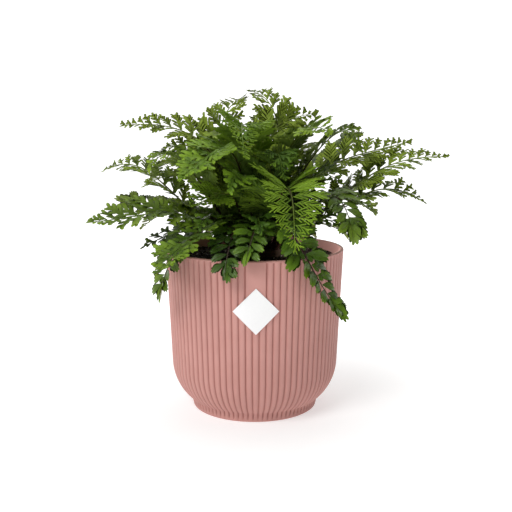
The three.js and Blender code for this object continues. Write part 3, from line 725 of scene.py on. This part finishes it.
def lobe_shape(lobe):
    """A thin closed blade with a toothed end, in shares of its length, half width and half thickness."""
    tooth = [1, 0.25, 0, 0.25] if lobe.full else [1, 0]  # depths from one notch to the next
    count = len(tooth) * lobe.teeth + 1
    sweep = np.radians(np.linspace(-lobe.sweep, lobe.sweep, count))
    radii = 1 - lobe.notch * np.resize(tooth, count) * np.clip(np.cos(sweep) + TEETH_BEHIND, 0, 1)
    ahead = radii * np.cos(sweep)
    across = radii * np.sin(sweep) * (1 - lobe.taper * np.maximum(ahead, 0))
    end = np.column_stack([lobe.middle + (1 - lobe.middle) * ahead, across])
    outline = np.vstack([[(0, -lobe.stem)], end, [(0, lobe.stem)]])
    crest_along = np.linspace(CREST_START, (1 + lobe.middle) / 2, CREST_POINTS)
    crest = np.column_stack([crest_along, np.zeros(CREST_POINTS)])
    inner = crest
    if lobe.full:
        middle = np.array([lobe.middle, 0])
        inner = np.vstack([crest, middle + INNER_SHARE * (end[1:-1:2] - middle)])
    rim = len(outline)
    flat = np.vstack([outline, inner])
    border = [(i, (i + 1) % rim) for i in range(rim)]
    triangles = np.array(delaunay_2d_cdt([Vector(point) for point in flat], border, [], 1, 1e-5)[2])
    under = np.where(triangles >= rim, triangles + len(inner), triangles)[:, ::-1]
    height = np.concatenate([np.zeros(rim), np.ones(len(inner)), -np.ones(len(inner))])
    points = np.column_stack([np.vstack([flat, inner]), height])
    return Shape(points, np.vstack([triangles, under]))


shapes = {name: lobe_shape(lobe) for name, lobe in LOBES.items()}


def blade_part(shape, length, half_width, rng):
    """A lobe in millimetres, slightly cupped and with its tip bent down."""
    x, y, height = shape.points.T
    cup = rng.uniform(0, LOBE_CUP) * half_width * y ** 2
    bend = rng.uniform(0, LOBE_BEND) * length * x ** 2
    return np.column_stack([x * length, y * half_width, height * BLADE_HALF_THICKNESS + cup - bend])


def turned_flat(points, degrees):
    """Points turned about the Z axis."""
    cos, sin = math.cos(math.radians(degrees)), math.sin(math.radians(degrees))
    x, y, z = points.T
    return np.column_stack([x * cos - y * sin, x * sin + y * cos, z])


def grown(size, length):
    """A size that is a number of millimetres and a share of a length."""
    return size[0] + size[1] * length


def leaflet_parts(form, length, rng):
    """The lobes of a leaflet along +X. For each one: its points, faces, and points as its shape has them."""
    shape = shapes[form.lobe]
    end_length, end_half_width = grown(form.end_length, length), grown(form.end_half_width, length)
    end = blade_part(shape, end_length, end_half_width, rng) + [length - end_length, 0, 0]
    parts = [(end, shape.faces, shape.points)]
    web = blade_part(shapes["web"], AXIS_SHARE * length, form.web * length, rng)
    parts.append((web, shapes["web"].faces, shapes["web"].points))
    first, last = form.lobe_range
    pairs = int((last - first) * length / form.pitch)
    for i in range(2 * pairs):
        along = lerp(first, last, (i + 0.5) / (2 * pairs))
        fullness = np.interp(along, *LOBE_FULLNESS) * rng.uniform(*FULLNESS_SPREAD)
        lobe_length = grown(form.length, length) * fullness
        half_width = grown(form.half_width, length) * math.sqrt(fullness)
        angle = lerp(*form.lobe_angles, along) + rng.uniform(-LOBE_ANGLE_SPREAD, LOBE_ANGLE_SPREAD)
        points = turned_flat(blade_part(shape, lobe_length, half_width, rng), angle) + [along * length, 0, 0]
        faces = shape.faces
        if i % 2:
            points, faces = points * [1, -1, 1], faces[:, ::-1]
        parts.append((points, faces, shape.points))
    return parts


def placed_leaflet(points, length, twist, sag, bow, fold):
    """A leaflet's points, folded up along its axis, which sags, bends to the side and twists further out."""
    x, y, z = points.T
    share = np.clip(x / length, 0, 1)
    z = z + fold * np.abs(y) - sag * length * share ** 2
    y = y + bow * length * share ** 2
    turn = math.radians(twist) * lerp(TWIST_AT_ROOT, 1, share)
    return np.column_stack([x, y * np.cos(turn) - z * np.sin(turn), y * np.sin(turn) + z * np.cos(turn)])


# Fronds

class Midrib:
    """A frond's midrib from inside the crown to its tip, and the blade's space along it."""

    def __init__(self, frond):
        up, down = math.radians(frond.lift), math.radians(frond.fall)
        start = np.array([STALK_RINGS[frond.ring], 0, crown_height(STALK_RINGS[frond.ring]) - STALK_DEPTH])
        end = np.array([frond.reach, frond.sway, frond.tip])
        heading = np.array([frond.reach, 2 * frond.sway, 0]) / math.hypot(frond.reach, 2 * frond.sway)
        chord = np.linalg.norm(end - start)
        leaving = start + chord * frond.arch * np.array([math.cos(up), 0, math.sin(up)])
        arriving = end - chord * TIP_HANDLE * (heading * math.cos(down) + np.array([0, 0, math.sin(down)]))
        t = np.linspace(0, 1, CURVE_STEPS)[:, None]
        path = (1 - t) ** 3 * start + 3 * (1 - t) ** 2 * t * leaving
        path = path + 3 * (1 - t) * t ** 2 * arriving + t ** 3 * end
        self.distances = np.append(0, np.cumsum(np.linalg.norm(np.diff(path, axis=0), axis=1)))
        self.length = self.distances[-1]

        share = (self.distances / self.length)[:, None]
        forward = unit(np.gradient(path, self.distances, axis=0))
        across = lerp(np.array([0, 1, 0]), np.array([-heading[1], heading[0], 0]), share)
        across = unit(across - forward * np.sum(across * forward, axis=1, keepdims=True))
        roll = math.radians(frond.roll) * share
        across = across * np.cos(roll) + np.cross(forward, across) * np.sin(roll)
        lines = [path, forward, across, np.cross(forward, across)]
        self.lines = [turned_flat(line, frond.azimuth) for line in lines]

    def lifted(self, flat):
        """Points in space for flat ones: distance along the midrib, across it and height over the blade."""
        s, t, height = flat.T
        place, forward, across, normal = [
            np.column_stack([np.interp(s, self.distances, column) for column in line.T])
            for line in self.lines
        ]
        raised = height + BLADE_RISE * np.abs(t) - BLADE_SAG * t ** 2
        beyond = np.maximum(0, s - self.length)
        return place + forward * beyond[:, None] + across * t[:, None] + normal * raised[:, None]


def unit(vectors):
    return vectors / np.linalg.norm(vectors, axis=1, keepdims=True)


def leaflet_share(along):
    """A leaflet's length as a share of the longest.

    Leaflets lengthen quickly from the base of the blade, where along is 0, and shorten slowly to its tip at
    1. Below the base there are a few shorter ones, low on the stalk.
    """
    if along < 0:
        return FIRST_LEAFLET * (1 + STALK_LEAFLET_FADE * along)
    return (1 - along) ** LEAFLET_TAPER * (FIRST_LEAFLET + LEAFLET_GAIN * along)


def add_leaflet(body, form, place, rng, tone, wood):
    """One leaflet at its place on the midrib: side, root, angle and length, with its axis and its lobes."""
    side, root, angle, length = place
    angle = math.radians(angle + rng.uniform(-ANGLE_SPREAD, ANGLE_SPREAD))
    rise = math.radians(form.rise + rng.uniform(-RISE_SPREAD, RISE_SPREAD))
    twist = form.twist * rng.uniform(-1, 1)
    fold = form.fold * rng.uniform(*FOLD_SPREAD)
    sag, bow = rng.uniform(0, SAG), rng.uniform(0, BOW)
    axis, axis_faces = straight_tube(-LEAFLET_ROOT, AXIS_SHARE * length, AXIS_RADII, AXIS_SIDES, AXIS_STEPS)
    parts = [*leaflet_parts(form, length, rng), (axis, axis_faces, OFF_VEINS)]
    leaflet_tone = tone + rng.uniform(-LEAFLET_TONE_SPREAD, LEAFLET_TONE_SPREAD)
    for points, faces, shares in parts:
        x, y, z = placed_leaflet(points, length, twist, sag, bow, fold).T
        out = x * math.sin(angle) - y * math.cos(angle)
        flat = np.column_stack([
            root + x * math.cos(angle) + y * math.sin(angle),
            side * (LEAFLET_ROOT + out * math.cos(rise) - z * math.sin(rise)),
            out * math.sin(rise) + z * math.cos(rise),
        ])
        lobe_tone_and_shade = leaflet_tone + rng.uniform(-LOBE_TONE_SPREAD, LOBE_TONE_SPREAD)
        # Painted shade at the leaflet's base, fading to lighter towards its tip
        lobe_tone_and_shade = lobe_tone_and_shade + LEAFLET_BASE_SHADE * (x / length - 0.5)
        wooden = wood * (faces is axis_faces) * (1 - np.clip(x / length, 0, 1))
        own_along, own_across, height = shares.T
        body.add(flat, faces[:, ::-1] if side > 0 else faces, tone=lobe_tone_and_shade, wood=wooden, along=own_along,
                 across=own_across, under=height < 0)


def make_frond(frond, number):
    """A midrib with leaflets on both sides, longest near the base of the blade."""
    rng = np.random.default_rng([SEED, number])
    midrib = Midrib(frond)
    kind = FORM_EXCEPTIONS.get(frond.name, frond.form)
    form = FORMS[kind]
    # A frond's own tone, with painted light and shade for some fronds
    tone = TONES_AND_PAINTED_LIGHT.get(frond.name, USUAL_TONES[kind])
    bare = BARE_SHARE[frond.ring] * midrib.length
    blade = midrib.length - bare
    body = Body()
    points, faces = straight_tube(0, midrib.length + 1, MIDRIB_RADII, MIDRIB_SIDES, MIDRIB_STEPS)
    along = points[:, 0] / midrib.length
    wood = 1 - smooth_step(*WOOD_SHARE[kind], along)
    body.add(points, faces, tone=tone + lerp(*MIDRIB_TONES, along), wood=wood, along=0, across=1, under=0)

    longest = min(form.longest, LEAFLET_SHARE * blade)
    root = LEAF_START * midrib.length
    side = 1
    end_length = longest * form.shortest * END_LEAFLET
    while root < midrib.length - END_LEAFLET_ALONE * end_length:
        along = (root - bare) / blade
        share = max(form.shortest, leaflet_share(along))
        place = side, root, lerp(*form.angles, max(along, 0)), longest * share * rng.uniform(*LENGTH_SPREAD)
        wood = 1 - smooth_step(*WOOD_SHARE[kind], root / midrib.length)
        shade = FROND_TIP_LIGHTER * along + BASE_DARKER * min(along, 0)
        add_leaflet(body, form, place, rng, tone + shade, wood)
        root += form.spacing / 2 * lerp(CLOSER_AT_TIP, 1, share)
        side = -side
    place = 1, midrib.length - END_LEAFLET_INSIDE * end_length, END_LEAFLET_ANGLE, end_length
    add_leaflet(body, form, place, rng, tone + FROND_TIP_LIGHTER, 0)
    return body, midrib


def area_light(name, location, target, size, power):
    light = bpy.data.lights.new(name, "AREA")
    light.shape = "DISK"
    light.size = size
    light.energy = power
    lamp = bpy.data.objects.new(name, light)
    lamp.location = location
    lamp.rotation_euler = (Vector(target) - Vector(location)).to_track_quat("-Z", "Y").to_euler()
    bpy.context.scene.collection.objects.link(lamp)


def make_world():
    """Dim light from all round, from a background that the camera sees as white."""
    world = bpy.data.worlds.new("studio")
    world.use_nodes = True
    tree = world.node_tree
    background = tree.nodes["Background"]
    background.inputs["Color"].default_value = (1, 1, 1, 1)
    strength = tree.nodes.new("ShaderNodeMapRange")
    strength.inputs["To Min"].default_value = WORLD_STRENGTH
    tree.links.new(tree.nodes.new("ShaderNodeLightPath").outputs["Is Camera Ray"], strength.inputs["Value"])
    tree.links.new(strength.outputs["Result"], background.inputs["Strength"])
    bpy.context.scene.world = world
    bpy.context.scene.view_settings.view_transform = "Standard"


def make_floor():
    """A surface that curves up far behind the object and glows, so that all but its shadows is white."""
    turn = np.linspace(-math.pi / 2, 0, SWEEP_STEPS)
    bend = np.column_stack([SWEEP_BACK + SWEEP_RADIUS * np.cos(turn), SWEEP_RADIUS * (1 + np.sin(turn))])
    profile = np.vstack([[(-SWEEP_FRONT, 0)], bend, [(SWEEP_BACK + SWEEP_RADIUS, SWEEP_HEIGHT)]])
    points = [(x, y, z) for y, z in profile for x in (-SWEEP_HALF_WIDTH, SWEEP_HALF_WIDTH)]
    mesh = bpy.data.meshes.new("floor")
    mesh.from_pydata(points, [], [(2 * i, 2 * i + 1, 2 * i + 3, 2 * i + 2) for i in range(len(profile) - 1)])
    mesh.shade_smooth()
    finish = Finish("floor_white", Roughness=0.8, Specular_IOR_Level=0.1)
    finish.paint(Base_Color=FLOOR_COLOR, Emission_Color=(1, 1, 1, 1))
    place = finish.add("ShaderNodeTexCoord", {}).outputs["Object"]
    distance = finish.add("ShaderNodeVectorMath", {0: place}, operation="LENGTH").outputs["Value"]
    finish.paint(Emission_Strength=finish.between(distance, *GLOW_DISTANCES, *FLOOR_GLOW))
    mesh.materials.append(finish.material)
    floor = bpy.data.objects.new("floor", mesh)
    bpy.context.scene.collection.objects.link(floor)


def make_camera():
    """Looks down a little, from where the pot's rim, belly and foot match the photograph."""
    camera = bpy.data.cameras.new("camera")
    camera.sensor_width = SENSOR
    camera.sensor_fit = "HORIZONTAL"
    camera.lens = SENSOR * FOCAL_LENGTH / IMAGE_SIDE
    camera.shift_x = (IMAGE_SIDE / 2 - OPTICAL_MIDDLE) / IMAGE_SIDE
    eye = bpy.data.objects.new("camera", camera)
    eye.location = Vector(CAMERA_PLACE) * MM
    eye.rotation_euler = [math.radians(angle) for angle in CAMERA_TURN]
    bpy.context.scene.collection.objects.link(eye)
    bpy.context.scene.camera = eye


bark = crumbly_finish("fern_bark", BARK_COLORS, scale=900, roughness=0.8, depth=0.0004)
earth = crumbly_finish("potting_soil", SOIL_COLORS, scale=700, roughness=0.92, depth=0.0006)
leaves = {
    "fine": leaf_finish("fern_fine_leaf", roughness=0.48, specular=0.14),
    "broad": leaf_finish("fern_broad_leaf", roughness=0.42, specular=0.16),
    "round": leaf_finish("fern_round_leaf", roughness=0.33, specular=0.3),
}
make_pot().finish("ribbed_pot", pot_finish(), "pot", "pot")
make_label().finish("blank_label", label_finish(), "label", "label")
make_soil().finish("crumbly_soil", earth, "soil", "soil")
make_crown().finish("scaly_crown", bark, "crown", "crown")
for number, frond in enumerate(FRONDS):
    body, midrib = make_frond(frond, number)
    leaf, slot = leaves[frond.form], f"fern_{frond.form}"
    towards_front = max(0, -math.sin(math.radians(frond.azimuth)))
    body.finish(f"{frond.name}_leaves", leaf, slot, f"frond_{frond.name}", midrib.lifted, fresh=towards_front)

for lamp in LIGHTS:
    area_light(*lamp)
make_world()
make_floor()
make_camera()
